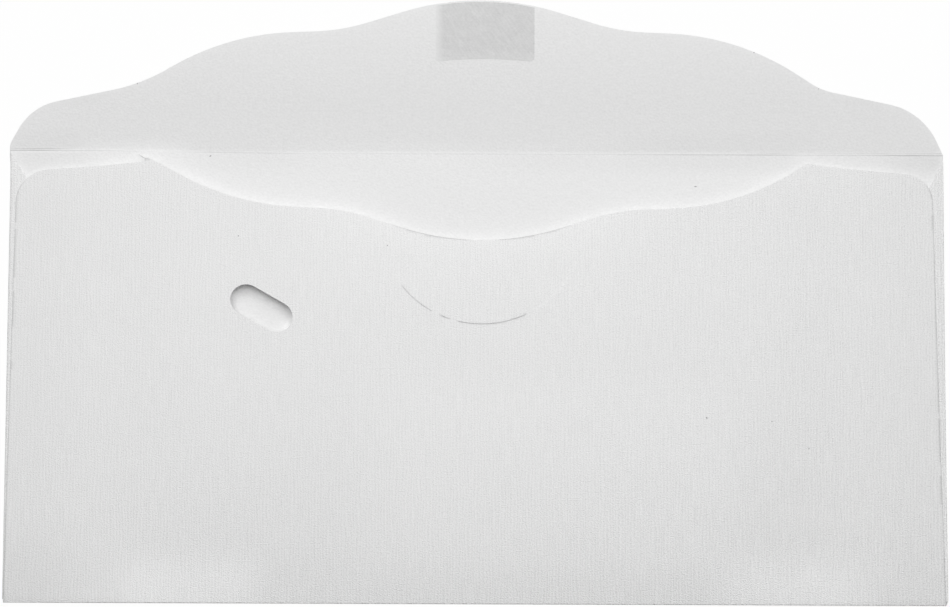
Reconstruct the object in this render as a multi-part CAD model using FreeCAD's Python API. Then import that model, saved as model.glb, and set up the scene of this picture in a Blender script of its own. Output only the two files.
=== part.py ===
import FreeCAD, Part
import math
import os

from FreeCAD import Vector

# Paper envelope, flap open, lying on its front panel with the back panel up.
# Millimetres. X runs along the width, Y from the bottom edge to the flap tip, Z up from the table.
# The origin is on the table, under the middle of the footprint.

# Paper and the closed body
paper = 0.12                # thickness of the sheet
body_width = 229.0          # outside one side fold to outside the other
body_height = 114.0         # bottom fold to the score that the seal flap turns on
fold_gap = 0.12             # air between two layers that a side fold turns over
glue_film = 0.03            # dried glue between side flap and back panel

# Side flaps, folded in on the front panel
side_flap_width = 18.0
left_flap_slope = 58.0      # degrees, upper edge
right_flap_slope = 61.5
left_flap_drop = 0.1        # start of the upper edge below the score
right_flap_drop = 1.8
side_flap_foot_slope = 15.0  # degrees, lower edge
side_flap_foot_lift = 1.0   # start of the lower edge above the bottom edge
side_flap_corner = 3.0      # radius

# Back panel, folded up from the bottom edge over the side flaps
left_inset_top = 2.1        # from the side fold, at the height of the corner
left_inset_foot = 0.55
right_inset_top = 2.8
right_inset_foot = 0.5
left_corner_drop = 5.4      # below the score
right_corner_drop = 5.6
back_corner_radius = 7.0

# Throat, the scalloped upper edge of the back panel
throat_centre = 1.24        # right of the middle of the body
left_peak_reach = 81.77     # from the throat's centre
right_peak_reach = 79.81
left_peak_drop = 1.67       # below the score
right_peak_drop = 2.66
left_bay_reach = 60.93      # corner of the side bay, from the throat's centre
left_bay_drop = 13.47
left_bay_radius = 61.97
right_bay_reach = 65.07
right_bay_drop = 13.75
right_bay_radius = 59.3
brow_reach = 33.77          # corner between a side bay and the middle scoop
brow_drop = 15.07
brow_radius = 42.0
scoop_drop = 25.93          # corner of the middle scoop, before it is rounded
scoop_radius = 62.0

# Short ramp from the right peak down to its shoulder
ramp_run = 3.2
ramp_fall = 0.6
ramp_foot_radius = 10.0

# Sliver that the knife left at the left peak
sliver_reach = 2.1          # beyond the peak
sliver_rise = 0.8           # above the peak
sliver_root = 0.57          # from the peak along the shoulder
sliver_thickness = 0.4      # at its root
sliver_step = 0.85          # down to the shoulder

# View slot in the back panel
slot_from_centre = 52.44    # left of the middle of the body
slot_drop = 40.4            # below the score
slot_length = 16.3
slot_width = 8.0
slot_tilt = 30.5            # degrees, its right end lower

# Half-moon easy-open cut in the back panel, held by small nicks
halfmoon_centre = 1.45      # right of the middle of the body
halfmoon_drop = 19.84       # centre below the score
halfmoon_radius = 24.43
halfmoon_start = 20.5       # degrees below the right-hand level
halfmoon_end = 143.0
halfmoon_nicks = (63.5, 106.3, 117.5)
nick_width = 1.2
slit_width = 0.2

# Swell of the pocket under the back panel
flat_margin = 10.5          # seam margin at each side that stays flat
pocket_rise = 3.2           # lift of the back panel
pocket_fullness = 5         # the higher, the sooner the panel is up above the bottom fold
throat_sink = 1.7           # how much lower the panel is at the score than the full rise

# Seal flap
score_width = 0.65          # the flap turns on two scores this far apart
flap_start_angle = 13.0     # degrees above the table, at the scores
flap_end_angle = 8.0        # degrees, from the end of the bend to the tip
flap_bend_run = 20.0        # the flap curves this far, then goes on straight
flap_end_inset = 0.2        # flap starts this far inside the side folds
crest_centre = 0.87         # right of the middle of the body
crest_length = 40.69        # corner of the crest above the score, before it is rounded
crest_radius = 63.93
dip_reach = 34.21           # corner between crest and brow, from the crest's centre
dip_length = 29.99
dip_radius = 50.5
flap_brow_reach = 63.21     # upper corner of each slope, from the crest's centre
flap_brow_length = 28.95
flap_brow_radius = 62.94
left_foot_inset = 33.03     # lower corner of the slope, from the side fold
left_foot_length = 16.86
left_foot_radius = 45.04
right_foot_inset = 30.01
right_foot_length = 15.77
right_foot_radius = 16.12
left_shoulder_inset = 1.01  # rounded outer corner of the flap, from the side fold
left_shoulder_length = 10.28
left_shoulder_radius = 13.93
right_shoulder_inset = 4.91
right_shoulder_length = 10.58
right_shoulder_radius = 16.39

# Spot of dried gum on the inner face of the seal flap
gum_film = 0.03
gum_left = -10.0            # from the middle of the body
gum_right = 14.45
gum_start = 22.27           # above the score
gum_bow = 0.9               # its lower edge bows up towards the tip by this corner
gum_bow_radius = 100.0
gum_edge_margin = 0.35      # bare paper between the gum and the edge of the flap
gum_corner = 1.0

# Glue line of each side seam
seam_inset = 4.5            # from the side fold
seam_width = 5.0
seam_end_margin = 3.0       # bare paper beyond each end of the line

# Layers at the side seams, from the table up
side_flap_floor = paper + fold_gap
seam_floor = side_flap_floor + paper
back_floor = seam_floor + glue_film
stack_height = back_floor + paper
side_fold_radius = (side_flap_floor + paper) / 2
bottom_fold_radius = stack_height / 2

# Lines that the panels meet on
half_width = body_width / 2
side_line = half_width - side_fold_radius
bottom_line = bottom_fold_radius - body_height
seam_line = half_width - flat_margin

above_all = 50.0            # reach of a cutting prism, above and below the sheet
no_length = 1e-6            # two arcs this near each other meet, with no straight between them
pole_spans_across = 14      # even spans of the pocket's domed face, a count
pole_spans_along = 8
spline_order = 4            # cubic
UP = Vector(0, 0, 1)


def setback(before, here, after, radius):
    """Distance from a corner to where its arc starts, and the directions of its two sides."""
    back = (before - here).normalize()
    on = (after - here).normalize()
    return radius / math.tan(back.getAngle(on) / 2) if radius else 0.0, back, on


def rounded_outline(corners):
    """Close a line through corners given as (x, y, radius), rounding each one as its sides allow."""
    points = [Vector(x, y, 0) for x, y, radius in corners]
    radii = [radius for x, y, radius in corners]
    count = len(points)
    turns = [setback(points[i - 1], points[i], points[(i + 1) % count], radii[i]) for i in range(count)]
    room = []
    for i in range(count):
        side = points[i - 1].distanceToPoint(points[i])
        taken = turns[i - 1][0] + turns[i][0]
        room.append(min(1.0, side / taken) if taken else 1.0)
    edges = []
    starts, ends = [], []
    for i in range(count):
        share = min(room[i], room[(i + 1) % count])
        length, back, on = turns[i]
        length, radius = length * share, radii[i] * share
        start, end = points[i] + back * length, points[i] + on * length
        starts.append(start)
        ends.append(end)
        if radius:
            middle = points[i] + (back + on).normalize() * (math.hypot(length, radius) - radius)
            edges.append(Part.Arc(start, middle, end).toShape())
    for i in range(count):
        if ends[i - 1].distanceToPoint(starts[i]) > no_length:
            edges.append(Part.LineSegment(ends[i - 1], starts[i]).toShape())
    return Part.Wire(Part.__sortEdges__(edges))


def prism(corners):
    """Upright prism over an outline, tall enough to cut any layer."""
    face = Part.Face(rounded_outline(corners))
    face.translate(UP * -above_all)
    return face.extrude(UP * 2 * above_all)


def layer(corners, floor):
    """Flat panel of paper over an outline."""
    face = Part.Face(rounded_outline(corners))
    face.translate(UP * floor)
    return face.extrude(UP * paper)


def fold(centre, outward, radius, run):
    """Half pipe of paper that turns the sheet over, bulging outward, along run."""
    inner = radius - paper
    outer_arc = Part.Arc(centre - UP * radius, centre + outward * radius, centre + UP * radius)
    inner_arc = Part.Arc(centre + UP * inner, centre + outward * inner, centre - UP * inner)
    upper = Part.LineSegment(centre + UP * radius, centre + UP * inner)
    lower = Part.LineSegment(centre - UP * inner, centre - UP * radius)
    section = Part.Wire([piece.toShape() for piece in (outer_arc, upper, inner_arc, lower)])
    return Part.Face(section).extrude(run)


def front_panel():
    """Flat panel that lies on the table, up to the lines where the folds start."""
    return layer([(-side_line, bottom_line, 0), (side_line, bottom_line, 0),
                  (side_line, 0, 0), (-side_line, 0, 0)], 0.0)


def side_flap(side, drop, slope):
    """Side flap with the fold that joins it to the front panel; side is -1 on the left, 1 on the right."""
    run = side_flap_width - side_fold_radius
    inner = side * (half_width - side_flap_width)
    outer = side * side_line
    foot = side_flap_foot_lift - body_height
    upper_end = -drop - run * math.tan(math.radians(slope))
    lower_end = foot + run * math.tan(math.radians(side_flap_foot_slope))
    flap = layer([(outer, foot, 0), (inner, lower_end, side_flap_corner),
                  (inner, upper_end, side_flap_corner), (outer, -drop, 0)], side_flap_floor)
    centre = Vector(outer, foot, side_fold_radius)
    turn = fold(centre, Vector(side, 0, 0), side_fold_radius, Vector(0, -drop - foot, 0))
    return [flap, turn]


def spline_line(lowest, inner_low, inner_high, highest, spans):
    """One direction of a spline with even spans inside: its knots, their weights and its poles' places."""
    spans, order = round(spans), round(spline_order)
    step = (inner_high - inner_low) / spans
    knots = sorted({lowest, highest} | {inner_low + step * i for i in range(spans + 1)})
    degree = order - 1
    full = [lowest] * degree + knots + [highest] * degree
    places = [sum(full[i + 1:i + order]) / degree for i in range(len(full) - order)]
    return knots, [order] + [1] * (len(knots) - 2) + [order], places


def swell(x, y):
    """Lift of the back panel over its flat height, where it is free of the seams."""
    share = (y - bottom_line) / -bottom_line
    return pocket_rise * (1 - (1 - share) ** pocket_fullness) - throat_sink * share ** 2


def pocket_face(floor):
    """Gently domed face: flat along both seams and along the bottom fold, lifted over the pocket."""
    knots_x, ends_x, places_x = spline_line(-side_line, -seam_line, seam_line, side_line, pole_spans_across)
    knots_y, ends_y, places_y = spline_line(bottom_line, bottom_line, 0.0, 0.0, pole_spans_along)
    degree = ends_x[0] - 1
    poles = []
    for i, x in enumerate(places_x):
        over_pocket = degree < i < len(places_x) - degree - 1
        row = [Vector(x, y, floor + (swell(x, y) if over_pocket and j else 0.0))
               for j, y in enumerate(places_y)]
        poles.append(row)
    surface = Part.BSplineSurface()
    surface.buildFromPolesMultsKnots(poles, ends_x, ends_y, knots_x, knots_y, False, False, degree, degree)
    return surface.toShape()


def back_outline():
    """Corners of the back panel, anticlockwise from its lower left end."""
    left_peak = throat_centre - left_peak_reach
    right_peak = throat_centre + right_peak_reach
    sliver_foot = left_peak - sliver_root
    return [
        (left_inset_foot - half_width, bottom_line, 0),
        (half_width - right_inset_foot, bottom_line, 0),
        (half_width - right_inset_top, -right_corner_drop, back_corner_radius),
        (right_peak + ramp_run, -right_peak_drop - ramp_fall, ramp_foot_radius),
        (right_peak, -right_peak_drop, 0),
        (throat_centre + right_bay_reach, -right_bay_drop, right_bay_radius),
        (throat_centre + brow_reach, -brow_drop, brow_radius),
        (throat_centre, -scoop_drop, scoop_radius),
        (throat_centre - brow_reach, -brow_drop, brow_radius),
        (throat_centre - left_bay_reach, -left_bay_drop, left_bay_radius),
        (left_peak, -left_peak_drop, 0),
        (left_peak - sliver_reach, sliver_rise - left_peak_drop, 0),
        (sliver_foot, -left_peak_drop - sliver_thickness, 0),
        (sliver_foot, -left_peak_drop - sliver_thickness - sliver_step, 0),
        (left_inset_top - half_width, -left_corner_drop, back_corner_radius),
    ]


def view_slot():
    """Prism of the oblong slot, with round ends."""
    half_length, radius = slot_length / 2, slot_width / 2
    slot = prism([(-half_length, -radius, radius), (half_length, -radius, radius),
                  (half_length, radius, radius), (-half_length, radius, radius)])
    slot.rotate(Vector(0, 0, 0), UP, -slot_tilt)
    slot.translate(Vector(-slot_from_centre, -slot_drop, 0))
    return slot


def halfmoon_slits():
    """Prisms of the half-moon cut, one between each pair of nicks."""
    half_nick = math.degrees(nick_width / halfmoon_radius) / 2
    starts = [halfmoon_start] + [nick + half_nick for nick in halfmoon_nicks]
    ends = [nick - half_nick for nick in halfmoon_nicks] + [halfmoon_end]
    inner = halfmoon_radius - slit_width / 2
    outer = halfmoon_radius + slit_width / 2
    centre = Vector(halfmoon_centre, -halfmoon_drop, -above_all)
    slits = []
    for start, end in zip(starts, ends):
        rays = [Vector(math.cos(a), -math.sin(a), 0)
                for a in map(math.radians, (start, (start + end) / 2, end))]
        near = [centre + ray * inner for ray in rays]
        far = [centre + ray * outer for ray in rays]
        section = Part.Wire([Part.Arc(*near).toShape(), Part.LineSegment(near[2], far[2]).toShape(),
                             Part.Arc(*reversed(far)).toShape(), Part.LineSegment(far[0], near[0]).toShape()])
        slits.append(Part.Face(section).extrude(UP * 2 * above_all))
    return slits


def back_panel():
    """Back panel with its throat, slot and half-moon cut, and the bottom fold that carries it."""
    panel = pocket_face(back_floor).extrude(UP * paper).common(prism(back_outline()))
    panel = panel.cut([view_slot()] + halfmoon_slits())
    start = left_inset_foot - half_width
    width = body_width - left_inset_foot - right_inset_foot
    centre = Vector(start, bottom_line, bottom_fold_radius)
    turn = fold(centre, Vector(0, -1, 0), bottom_fold_radius, Vector(width, 0, 0))
    return [panel, turn]


def flap_profile(floor, thickness):
    """Side view of the seal flap, swept across the body: two scores, a gentle curve, then straight on."""
    first, last = math.radians(flap_start_angle), math.radians(flap_end_angle)
    start = Vector(0, 0, floor)
    score_end = start + Vector(0, math.cos(first / 2), math.sin(first / 2)) * score_width
    radius = flap_bend_run / (math.sin(first) - math.sin(last))
    curve = []
    for angle in (first, (first + last) / 2, last):
        along = radius * (math.sin(first) - math.sin(angle))
        above = radius * (math.cos(angle) - math.cos(first))
        curve.append(score_end + Vector(0, along, above))
    straight = crest_length - flap_bend_run
    tip = curve[2] + Vector(0, straight, straight * math.tan(last))
    low = [Part.LineSegment(start, score_end).toShape(), Part.Arc(*curve).toShape(),
           Part.LineSegment(curve[2], tip).toShape()]
    high = [edge.translated(UP * thickness) for edge in low]
    ends = [Part.LineSegment(point, point + UP * thickness).toShape() for point in (start, tip)]
    section = Part.Wire(Part.__sortEdges__(low + high + ends))
    section.translate(Vector(-half_width, 0, 0))
    return Part.Face(section).extrude(Vector(body_width, 0, 0))


def flap_outline():
    """Corners of the seal flap, anticlockwise from its right end on the score."""
    return [
        (half_width - flap_end_inset, 0, 0),
        (half_width - right_shoulder_inset, right_shoulder_length, right_shoulder_radius),
        (half_width - right_foot_inset, right_foot_length, right_foot_radius),
        (crest_centre + flap_brow_reach, flap_brow_length, flap_brow_radius),
        (crest_centre + dip_reach, dip_length, dip_radius),
        (crest_centre, crest_length, crest_radius),
        (crest_centre - dip_reach, dip_length, dip_radius),
        (crest_centre - flap_brow_reach, flap_brow_length, flap_brow_radius),
        (left_foot_inset - half_width, left_foot_length, left_foot_radius),
        (left_shoulder_inset - half_width, left_shoulder_length, left_shoulder_radius),
        (flap_end_inset - half_width, 0, 0),
    ]


def seal_flap():
    return flap_profile(0.0, paper).common(prism(flap_outline()))


def seal_gum():
    """Spot of gum on the flap, just short of the flap's edge."""
    middle = (gum_left + gum_right) / 2
    patch = prism([(gum_left, gum_start, gum_corner), (middle, gum_start + gum_bow, gum_bow_radius),
                   (gum_right, gum_start, gum_corner),
                   (gum_right, crest_length, 0), (gum_left, crest_length, 0)])
    inside_edge = prism(flap_outline())
    inside_edge.translate(Vector(0, -gum_edge_margin, 0))
    return flap_profile(paper, gum_film).common(patch).common(inside_edge)


def seam_glue(side, drop, slope):
    """Line of dried glue between a side flap and the back panel."""
    outer = half_width - seam_inset
    inner = outer - seam_width
    low = side_flap_foot_lift - body_height + seam_end_margin
    low += (seam_inset + seam_width) * math.tan(math.radians(side_flap_foot_slope))
    high = -drop - seam_end_margin
    high -= (seam_inset + seam_width) * math.tan(math.radians(slope))
    film = Part.makeBox(seam_width, high - low, glue_film)
    film.translate(Vector(inner if side > 0 else -outer, low, seam_floor))
    return film


def envelope_sheet():
    """The whole folded sheet as one solid."""
    pieces = [seal_flap()] + back_panel()
    pieces += side_flap(-1, left_flap_drop, left_flap_slope)
    pieces += side_flap(1, right_flap_drop, right_flap_slope)
    return front_panel().multiFuse(pieces).removeSplitter()


def crest_tip():
    """Distance of the rounded tip of the flap above the score."""
    slope = math.atan2(crest_length - dip_length, dip_reach)
    return crest_length - crest_radius * (1 / math.cos(slope) - 1)


def main():
    os.makedirs("parts", exist_ok=True)
    nodes = {
        "envelope_sheet": envelope_sheet(),
        "seal_gum": seal_gum(),
        "left_seam_glue": seam_glue(-1, left_flap_drop, left_flap_slope),
        "right_seam_glue": seam_glue(1, right_flap_drop, right_flap_slope),
    }
    to_middle = Vector(0, (body_height - crest_tip()) / 2, 0)
    for name, shape in nodes.items():
        shape.translate(to_middle)
        box = shape.BoundBox
        print(name, "solids", len(shape.Solids), "valid", shape.isValid(), "volume", round(shape.Volume, 3),
              "x", round(box.XMin, 3), round(box.XMax, 3), "y", round(box.YMin, 3), round(box.YMax, 3),
              "z", round(box.ZMin, 3), round(box.ZMax, 3))
        shape.exportStep("parts/" + name + ".step")


main()
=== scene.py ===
# %% [markdown]
# # A paper envelope, lying open
# This lesson builds one long white envelope the way a factory makes it: a flat blank is cut out, with
# all its curves and holes, and then folded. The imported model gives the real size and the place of
# every piece, and each piece here is made inside it. Lengths are written in millimetres, as on a
# cutting die, and turned into metres when a mesh is made.

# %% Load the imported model
import math

import bpy
import numpy as np
from mathutils import Matrix, Vector, kdtree
from mathutils.geometry import delaunay_2d_cdt


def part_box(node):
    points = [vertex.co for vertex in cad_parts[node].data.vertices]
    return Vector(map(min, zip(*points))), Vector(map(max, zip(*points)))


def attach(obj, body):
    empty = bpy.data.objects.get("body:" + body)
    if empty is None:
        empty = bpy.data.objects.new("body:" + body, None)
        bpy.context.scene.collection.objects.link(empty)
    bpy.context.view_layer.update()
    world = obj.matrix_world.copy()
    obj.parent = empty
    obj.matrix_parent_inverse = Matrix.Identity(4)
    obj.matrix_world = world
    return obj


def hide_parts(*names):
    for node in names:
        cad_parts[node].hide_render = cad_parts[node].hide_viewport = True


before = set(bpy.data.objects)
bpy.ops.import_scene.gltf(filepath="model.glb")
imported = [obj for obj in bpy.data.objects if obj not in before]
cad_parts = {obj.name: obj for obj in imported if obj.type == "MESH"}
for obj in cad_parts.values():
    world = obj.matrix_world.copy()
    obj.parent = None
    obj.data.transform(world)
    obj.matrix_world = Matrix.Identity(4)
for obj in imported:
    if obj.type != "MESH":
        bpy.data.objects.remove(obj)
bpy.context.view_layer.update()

print("nodes:", sorted(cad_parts))

# %% [markdown]
# ## Sizes
# The model's box gives the width of the body and the span from the bottom fold to the flap's tip. The
# few sizes that the box can't tell, such as the thickness of the paper and the place of the score
# that the flap turns on, are the same named values that the solid was built from.

# %% Sizes from the frame
MM = 0.001
low, high = [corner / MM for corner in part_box("envelope_sheet")]
body_width = high.x - low.x
body_height = 114.0
half_width = body_width / 2
score_y = low.y + body_height
paper = 0.12
fold_gap = 0.12
glue_film = 0.03
side_flap_floor = paper + fold_gap
back_floor = side_flap_floor + paper + glue_film
side_fold_radius = (side_flap_floor + paper) / 2
bottom_fold_radius = (back_floor + paper) / 2
side_line = half_width - side_fold_radius
bottom_line = bottom_fold_radius - body_height
print("body", round(body_width, 2), "x", body_height, "mm, score at y", round(score_y, 2))

# %% [markdown]
# ## The camera
# The camera comes first, so that every later render can be laid beside the photograph. The
# photograph was taken from far away and a little below the middle, looking down at about 74 degrees:
# the body's two sides lean together only slightly. So the camera gets a long lens and a long distance.

# %% Camera at the photograph's viewing angle
SENSOR = 36.0
camera_tilt = math.radians(16.25)
camera_pan = math.radians(0.0937)
camera_roll = math.radians(0.2094)
camera_distance, camera_lens = 2.1173, 328.58
camera_aim = Vector((-0.211, score_y - 38.2, 0.0)) * MM

camera_data = bpy.data.cameras.new("camera")
camera_data.sensor_width = SENSOR
camera_data.lens = camera_lens
camera_data.clip_end = 20.0
camera = bpy.data.objects.new("camera", camera_data)
bpy.context.scene.collection.objects.link(camera)
turn = (Matrix.Rotation(camera_tilt, 4, "X") @ Matrix.Rotation(camera_pan, 4, "Y")
        @ Matrix.Rotation(camera_roll, 4, "Z"))
camera.matrix_world = Matrix.Translation(camera_aim + turn @ Vector((0, 0, camera_distance))) @ turn
bpy.context.scene.camera = camera
print("camera at", [round(v, 3) for v in camera.matrix_world.translation])

# %% [markdown]
# ## The outlines of the blank
# A cutting die is made of straight rules and arcs, so each outline is a short list of corners with a
# radius, and one function turns corners into points. The blank is drawn flat: the front panel in the
# middle, the seal flap above it, a side flap on each side, and the back panel below, upside down. The
# strip of paper that a fold uses up lies between two panels.

# %% Corners into a rounded outline
OUTLINE_STEP = 0.9


def rounded(corners, closed=True):
    """Points along a line through corners (x, y, radius), each corner rounded by its own arc."""
    count = len(corners)
    points = []
    for i, (x, y, radius) in enumerate(corners):
        here = Vector((x, y))
        if radius == 0 or (not closed and i in (0, count - 1)):
            points.append(here)
            continue
        back = (Vector(corners[i - 1][:2]) - here).normalized()
        on = (Vector(corners[(i + 1) % count][:2]) - here).normalized()
        half = back.angle(on) / 2
        centre = here + (back + on).normalized() * (radius / math.sin(half))
        first = here + back * (radius / math.tan(half)) - centre
        sweep = first.angle_signed(here + on * (radius / math.tan(half)) - centre)
        steps = max(2, math.ceil(abs(sweep) * radius / OUTLINE_STEP))
        for k in range(steps + 1):
            points.append(centre + Matrix.Rotation(-sweep * k / steps, 2) @ first)
    return points


def with_even_steps(points, longest=2 * OUTLINE_STEP):
    """Add points along the long straight stretches of a closed outline."""
    out = []
    for i, here in enumerate(points):
        on = points[(i + 1) % len(points)]
        steps = max(1, math.ceil((on - here).length / longest))
        out += [here.lerp(on, k / steps) for k in range(steps)]
    return out


print("a test square has", len(rounded([(0, 0, 1), (9, 0, 1), (9, 9, 1), (0, 9, 1)])), "points")

# %% [markdown]
# The seal flap's edge swings out to a crest in the middle, with a dip and a brow on each side. The two
# feet near the sides differ a little, as they do on the real flap. Each corner gives its place across,
# its height over the score and its radius. From the dips to the crest both halves are the same.

# %% Corners of the seal flap
crest_x, crest_length, crest_radius = 0.87, 40.63, 63.93
dip_reach, dip_length, dip_radius = 34.21, 29.99, 50.5
brow_reach, brow_length, brow_radius = 63.21, 28.95, 62.94
flap_end = half_width - 0.03
flap_corners = [
    (flap_end, 0.0, 0),
    (half_width - 4.91, 10.58, 16.39),
    (half_width - 30.01, 15.77, 16.12),
    (crest_x + brow_reach, brow_length, brow_radius),
    (crest_x + dip_reach, dip_length, dip_radius),
    (crest_x, crest_length, crest_radius),
    (crest_x - dip_reach, dip_length, dip_radius),
    (crest_x - brow_reach, brow_length, brow_radius),
    (33.03 - half_width, 16.86, 45.04),
    (5.17 - half_width, 11.11, 13.86),
    (0.05 - half_width, 2.17, 3.0),
    (-flap_end, 0.0, 0),
]
flap_length = max(point.y for point in rounded(flap_corners, closed=False))
print("seal flap reaches", round(flap_length, 2), "mm")

# %% [markdown]
# The back panel's upper edge is the throat: a deep scoop in the middle and a bay on each side, up to a
# peak. At the left peak the knife left a sliver of paper, as the photograph shows.

# %% Corners of the back panel
throat_x = 1.24
left_peak = Vector((throat_x - 81.77, -1.67))
right_peak = Vector((throat_x + 79.81, -2.66))
left_foot_inset, right_foot_inset = 0.2, 0.55
scoop_reach, scoop_shoulder_y, scoop_shoulder_radius = 33.77, -15.07, 42.0
sliver_steps = ((-0.42, -0.3), (-2.5, 1.12), (-0.8, -0.37), (-0.95, -1.15))
back_corners = [
    (left_foot_inset - half_width, bottom_line, 0),
    (half_width - right_foot_inset, bottom_line, 0),
    (half_width - 2.8, -5.6, 7.0),
    (right_peak.x + 3.2, right_peak.y - 0.6, 10.0),
    (right_peak.x, right_peak.y, 0),
    (throat_x + 65.07, -13.75, 59.3),
    (throat_x + scoop_reach, scoop_shoulder_y, scoop_shoulder_radius),
    (throat_x, -25.93, 62.0),
    (throat_x - scoop_reach, scoop_shoulder_y, scoop_shoulder_radius),
    (throat_x - 60.93, -13.47, 61.97),
    (left_peak.x, left_peak.y, 0),
    *[(left_peak.x + across, left_peak.y + up, 0) for across, up in sliver_steps],
    (1.52 - half_width, -5.2, 8.2),
]
print("back panel has", len(rounded(back_corners)), "outline points")

# %% [markdown]
# The first opening of the back panel is an oblong view slot: two half circles with a straight stretch
# between them, turned so that the right end is lower.

# %% View slot
slot_middle = Vector((-52.3, -40.42))
slot_length, slot_width, slot_tilt = 16.4, 7.68, math.radians(30.5)
TIP_STEPS = 16


def slot_outline():
    """The slot's closed outline, anticlockwise."""
    straight = (slot_length - slot_width) / 2
    points = []
    for side in (1, -1):
        for k in range(TIP_STEPS + 1):
            angle = math.pi * k / TIP_STEPS - math.pi / 2
            tip = Vector((straight + math.cos(angle) * slot_width / 2, math.sin(angle) * slot_width / 2))
            points.append(slot_middle + Matrix.Rotation(-slot_tilt, 2) @ (tip * side))
    return points


print("slot outline:", len(slot_outline()), "points")

# %% [markdown]
# The second opening is the half-moon cut, for a thumb. It isn't one line: the die leaves nicks, small
# bridges of paper that hold the half moon in until it is torn open. So it is drawn as one thin slit for
# each stretch. How wide a stretch has sprung open differs, and the right one is nearly shut.

# %% Half-moon cut
halfmoon_middle = Vector((1.45, -19.84))
halfmoon_radius = 24.43
halfmoon_start, halfmoon_end = 20.5, 143.0
halfmoon_nicks = (61.5, 106.3, 117.5)
nick_width = 1.2
slit_widths = (0.015, 0.07, 0.06, 0.05)


def slit_outlines():
    """One thin closed outline for each stretch of the half-moon cut between two nicks."""
    half_nick = math.degrees(nick_width / halfmoon_radius) / 2
    starts = [halfmoon_start] + [nick + half_nick for nick in halfmoon_nicks]
    ends = [nick - half_nick for nick in halfmoon_nicks] + [halfmoon_end]
    outlines = []
    for start, end, slit_width in zip(starts, ends, slit_widths):
        steps = max(2, math.ceil(math.radians(end - start) * halfmoon_radius / OUTLINE_STEP))
        rays = [Vector((math.cos(a), -math.sin(a)))
                for a in np.radians(np.linspace(start, end, steps + 1))]
        inner = [halfmoon_middle + ray * (halfmoon_radius - slit_width / 2) for ray in rays]
        outer = [halfmoon_middle + ray * (halfmoon_radius + slit_width / 2) for ray in rays]
        outlines.append(inner[:1] + outer[1:-1] + inner[:0:-1])
    return outlines


print("slit outlines:", [len(outline) for outline in slit_outlines()], "points")

# %% [markdown]
# A panel that folds over is drawn on the blank as its mirror image, beyond the strip of paper that its
# fold uses up. That strip is half the circle that the middle of the sheet runs round in the fold.

# %% Where a folded panel lies on the blank
side_turn = side_fold_radius - paper / 2
bottom_turn = bottom_fold_radius - paper / 2
side_strip = math.pi * side_turn
bottom_strip = math.pi * bottom_turn


def past_side(x):
    """Where a point of a side flap lies on the blank, measured from the middle."""
    return side_line + side_strip + (side_line - x)


def past_bottom(y):
    """Where a point of the back panel lies on the blank."""
    return bottom_line - bottom_strip - (y - bottom_line)


print("the folds use up", round(side_strip, 2), "and", round(bottom_strip, 2), "mm of paper")

# %% [markdown]
# A side flap is a plain strip with a slanted upper and lower end. Only the upper ends show, in the two
# corners of the mouth, and there the left one starts higher than the right one. The fold's strip gets a
# few extra points, so that the ends of the fold turn as roundly as the fold does.

# %% Side flaps
FOLD_STEPS = 8
side_flap_width, side_flap_radius = 18.0, 3.0
side_flap_foot, foot_slope = 1.0 - body_height, 15.0
flap_tops = {-1: (-0.1, 58.0), 1: (-1.8, 61.5)}


def side_flap_corners(side):
    """Corners of a side flap on the blank, from its upper end round to its lower end."""
    top, slope = flap_tops[side]
    run = side_flap_width - side_fold_radius
    inner = past_side(half_width - side_flap_width)
    strip = [side_line + side_strip * k / FOLD_STEPS for k in range(FOLD_STEPS + 1)]
    upper = [(side * x, top, 0) for x in strip]
    lower = [(side * x, side_flap_foot, 0) for x in reversed(strip)]
    upper_end = top - run * math.tan(math.radians(slope))
    lower_end = side_flap_foot + run * math.tan(math.radians(foot_slope))
    ends = [(side * inner, upper_end, side_flap_radius), (side * inner, lower_end, side_flap_radius)]
    return upper + ends + lower


print("a side flap has", len(side_flap_corners(1)), "corners")

# %% [markdown]
# Now the whole blank is one closed line: the seal flap, the left side flap, down to the back panel and
# round it, and up the right side flap again.

# %% One closed line round the blank
def blank_corners():
    """All corners of the blank, anticlockwise from the right end of the score."""
    strip = [bottom_line - bottom_strip * k / FOLD_STEPS for k in range(FOLD_STEPS + 1)]
    left_foot, right_foot = left_foot_inset - half_width, half_width - right_foot_inset
    turned = [(x, past_bottom(y), radius) for x, y, radius in back_corners]
    left = side_flap_corners(-1) + [(-side_line, bottom_line, 0)] + [(left_foot, y, 0) for y in strip]
    right = [(right_foot, y, 0) for y in reversed(strip)] + [(side_line, bottom_line, 0)]
    right += side_flap_corners(1)[::-1]
    return flap_corners + left + turned[:1:-1] + right


blank_outline = with_even_steps(rounded(blank_corners()))
hole_outlines = [[Vector((p.x, past_bottom(p.y))) for p in outline]
                 for outline in [slot_outline()] + slit_outlines()]
print("blank outline", len(blank_outline), "points, holes", len(hole_outlines))

# %% [markdown]
# ## From lines to paper
# The blank is filled with small triangles. Even rows of points cover it, and more rows lie close
# together wherever the paper turns: in the three folds and along the score. On the front panel some
# rows follow the mouth of the pocket and the slot, because the light changes quickly there. Points too
# close to a cut edge are left out, so that the edge keeps its own clean row.

# %% Rows and columns of points
GRID_STEP = 1.6
GUIDE_LIFTS = (0.2, 0.6, 1.1, 1.8, 2.8, 4.0)
GUIDE_SHARES = (0.3, 0.5, 0.66, 0.8, 0.91, 1.0, 1.09, 1.18, 1.28, 1.4)
GUIDE_CLEARANCE = 0.7
SCORE_WIDTH = 0.65


def even_rows(first, last):
    """Evenly spaced row positions from first to last."""
    return list(np.linspace(first, last, math.ceil((last - first) / GRID_STEP) + 1))


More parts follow.
